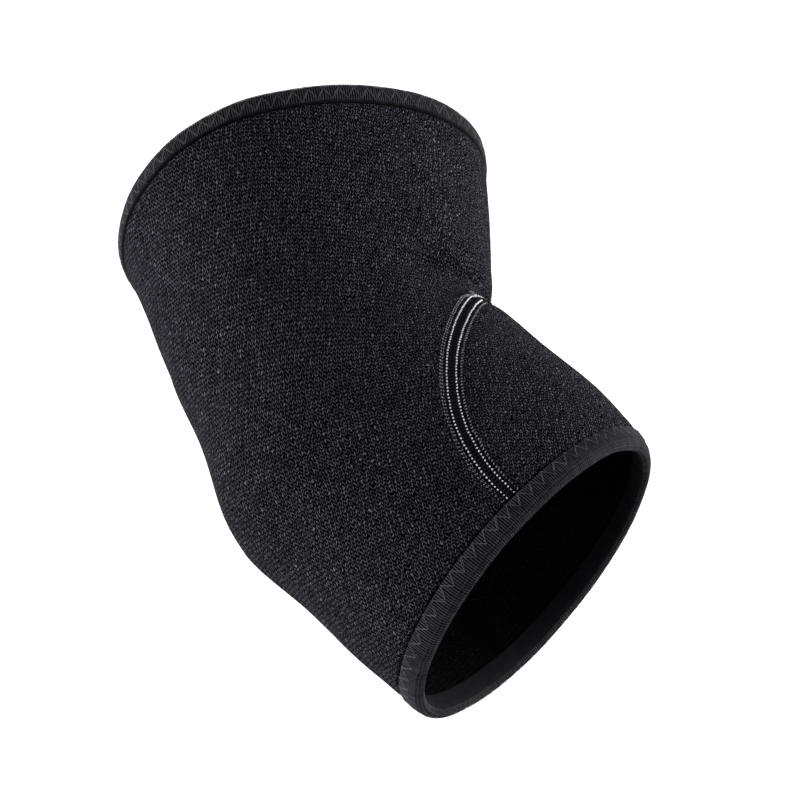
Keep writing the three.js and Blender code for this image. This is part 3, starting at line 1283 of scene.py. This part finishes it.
@dataclass
class Studio:
    """The pale floor, the soft lights and the camera of the photograph's view."""

    azimuth: float = -11.03
    elevation: float = 53.47
    distance: float = 1.0
    lens: float = 147.15
    aim_right: float = 0.0275
    aim_up: float = -0.0014
    floor_drop: float = 0.36
    backdrop: float = 0.9
    ambient: float = 0.2

    def build(self) -> None:
        """Sets the floor, the lights and the camera."""
        self._floor()
        for name, place, size, power in STUDIO_LIGHTS:
            self._light(name, place, size, power)
        self._world()
        bpy.context.scene.view_settings.view_transform = "Standard"
        self._camera()

    def _world(self) -> None:
        """Sets a pale backdrop that lights the brace only softly."""
        world = bpy.data.worlds.new("studio")
        world.use_nodes = True
        wiring = Wiring(world.node_tree)
        seen = wiring.node("ShaderNodeLightPath").outputs["Is Camera Ray"]
        strength = wiring.math("MULTIPLY_ADD", seen, self.backdrop - self.ambient, self.ambient)
        wiring.feed(world.node_tree.nodes["Background"].inputs["Color"], (1, 1, 1, 1))
        wiring.feed(world.node_tree.nodes["Background"].inputs["Strength"], strength)
        bpy.context.scene.world = world

    def _floor(self) -> None:
        """Lays a plain pale floor below the brace."""
        bm = bmesh.new()
        bmesh.ops.create_grid(bm, x_segments=1, y_segments=1, size=6.0)
        bmesh.ops.translate(bm, verts=bm.verts, vec=(0, 0, -self.floor_drop))
        mesh = to_mesh(bm)
        material, _, shader = start_material("floor")
        shader.inputs["Base Color"].default_value = (0.95, 0.95, 0.95, 1)
        shader.inputs["Roughness"].default_value = 0.95
        shader.inputs["Specular IOR Level"].default_value = 0.1
        mesh.materials.append(material)
        floor = bpy.data.objects.new("floor", mesh)
        bpy.context.scene.collection.objects.link(floor)

    def _light(self, name: str, place: tuple[float, float, float], size: float, power: float) -> None:
        """Hangs a soft square light that points at the brace.

        Args:
            name: The light's name.
            place: Where it hangs, in metres.
            size: The length of its side.
            power: Its power in watts.
        """
        light = bpy.data.lights.new(name, "AREA")
        light.size = size
        light.energy = power
        holder = bpy.data.objects.new(name, light)
        holder.location = place
        holder.rotation_euler = (-Vector(place)).to_track_quat("-Z", "Y").to_euler()
        bpy.context.scene.collection.objects.link(holder)

    def _camera(self) -> None:
        """Sets the camera at the photograph's viewing angle."""
        azimuth = math.radians(self.azimuth)
        elevation = math.radians(self.elevation)
        back = Vector(
            (
                math.sin(azimuth) * math.cos(elevation),
                -math.cos(azimuth) * math.cos(elevation),
                math.sin(elevation),
            )
        )
        right = Vector((math.cos(azimuth), math.sin(azimuth), 0))
        up = back.cross(right)
        camera = bpy.data.cameras.new("camera")
        camera.lens = self.lens
        camera.sensor_width = 36
        holder = bpy.data.objects.new("camera", camera)
        holder.location = back * self.distance
        aim = right * self.aim_right + up * self.aim_up
        away = (holder.location - aim).normalized()
        level = up.cross(away).normalized()
        holder.rotation_euler = Matrix((level, away.cross(level), away)).transposed().to_euler()
        bpy.context.scene.collection.objects.link(holder)
        bpy.context.scene.camera = holder


@dataclass
class ElbowBrace:
    """The whole brace: two knit panels, two flatlock seams and two bound rims."""

    knit: KnitFinish = KnitFinish(
        "padded_knit", (0.0003, 0.0003, 0.0006, 1), (0.14, 0.136, 0.17, 1), 0.32, 0.003
    )
    # The lining is a darker copy of the knit for the inner faces: painted shade inside the sleeve.
    lining: KnitFinish = KnitFinish(
        "shaded_lining_knit", (0.001, 0.001, 0.001, 1), (0.012, 0.012, 0.014, 1), 0.3, 0.0
    )
    tape: ThreadFinish = ThreadFinish(
        "tape", (0.0005, 0.0005, 0.001, 1), (0.009, 0.009, 0.011, 1), 0.9
    )
    bright: ThreadFinish = ThreadFinish(
        "bright_thread", (0.45, 0.45, 0.47, 1), (0.85, 0.85, 0.88, 1), 0.6
    )
    faint: ThreadFinish = ThreadFinish(
        "faint_thread", (0.01, 0.01, 0.012, 1), (0.34, 0.34, 0.37, 1), 0.75
    )
    dark: ThreadFinish = ThreadFinish(
        "dark_thread", (0.001, 0.001, 0.0015, 1), (0.014, 0.014, 0.017, 1), 0.8
    )
    rib: ThreadFinish = ThreadFinish(
        "rib_thread", (0.003, 0.003, 0.004, 1), (0.06, 0.06, 0.072, 1), 0.8
    )
    grey: ThreadFinish = ThreadFinish(
        "grey_thread", (0.01, 0.01, 0.012, 1), (0.14, 0.14, 0.16, 1), 0.8
    )
    hem_clearance: float = 0.1
    seam_end: float = 0.4
    closing_start: float = 5.0

    def _panels(self, grain: Grain) -> list[bpy.types.Object]:
        """Builds the body panel and the gusset."""
        knit = [self.knit.material(grain), self.lining.material(grain)]
        return [
            BodyPanel("body_cloth", ("body_panel",), 180.0).build(knit),
            GussetPanel("gusset_cloth", ("forearm_gusset",), 0.0).build(knit),
        ]

    def _seams(self, grain: Grain) -> list[list[bpy.types.Object]]:
        """Sews the gusset's seam and the closing seam."""
        bright, faint, dark = (
            finish.material(grain) for finish in (self.bright, self.faint, self.dark)
        )
        end = FORM.gusset_turn(FORM.hem_reach + self.seam_end)
        gusset_line = FORM.gusset_edge(np.linspace(-end, end, 241))
        low = self.closing_start - FORM.gusset_tip_drop
        high = FORM.upper_length - FORM.upper_hem_reach - self.seam_end
        closing_line = (np.linspace(low, high, 121), np.zeros(121))
        return [
            FlatlockSeam(f"{name}_stitches", f"{name}_seam", SeamTrack(*line)).build(bright, faint, dark)
            for name, line in (("gusset", gusset_line), ("closing", closing_line))
        ]

    def _hems(self, grain: Grain) -> list[bpy.types.Object]:
        """Binds both rims."""
        tape, rib, grey = (finish.material(grain) for finish in (self.tape, self.rib, self.grey))
        upper_reach = FORM.upper_hem_reach - self.hem_clearance
        forearm_reach = FORM.hem_reach - self.hem_clearance
        upper = Hem("upper_binding", "upper_hem", FORM.upper_length, -1, upper_reach)
        forearm = Hem("forearm_binding", "forearm_hem", -FORM.forearm_length, 1, forearm_reach)
        return upper.build(tape, rib, grey) + forearm.build(tape, rib, grey)

    def build(self) -> None:
        """Builds every piece."""
        grain = Grain()
        body, gusset = self._panels(grain)
        sewn, closed = self._seams(grain)
        bound = self._hems(grain)


def main() -> None:
    """Builds the brace in the frame, then the studio."""
    logging.basicConfig(level=logging.INFO, format="%(name)s %(message)s")
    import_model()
    ElbowBrace().build()
    Studio().build()


if __name__ == "__main__":
    main()
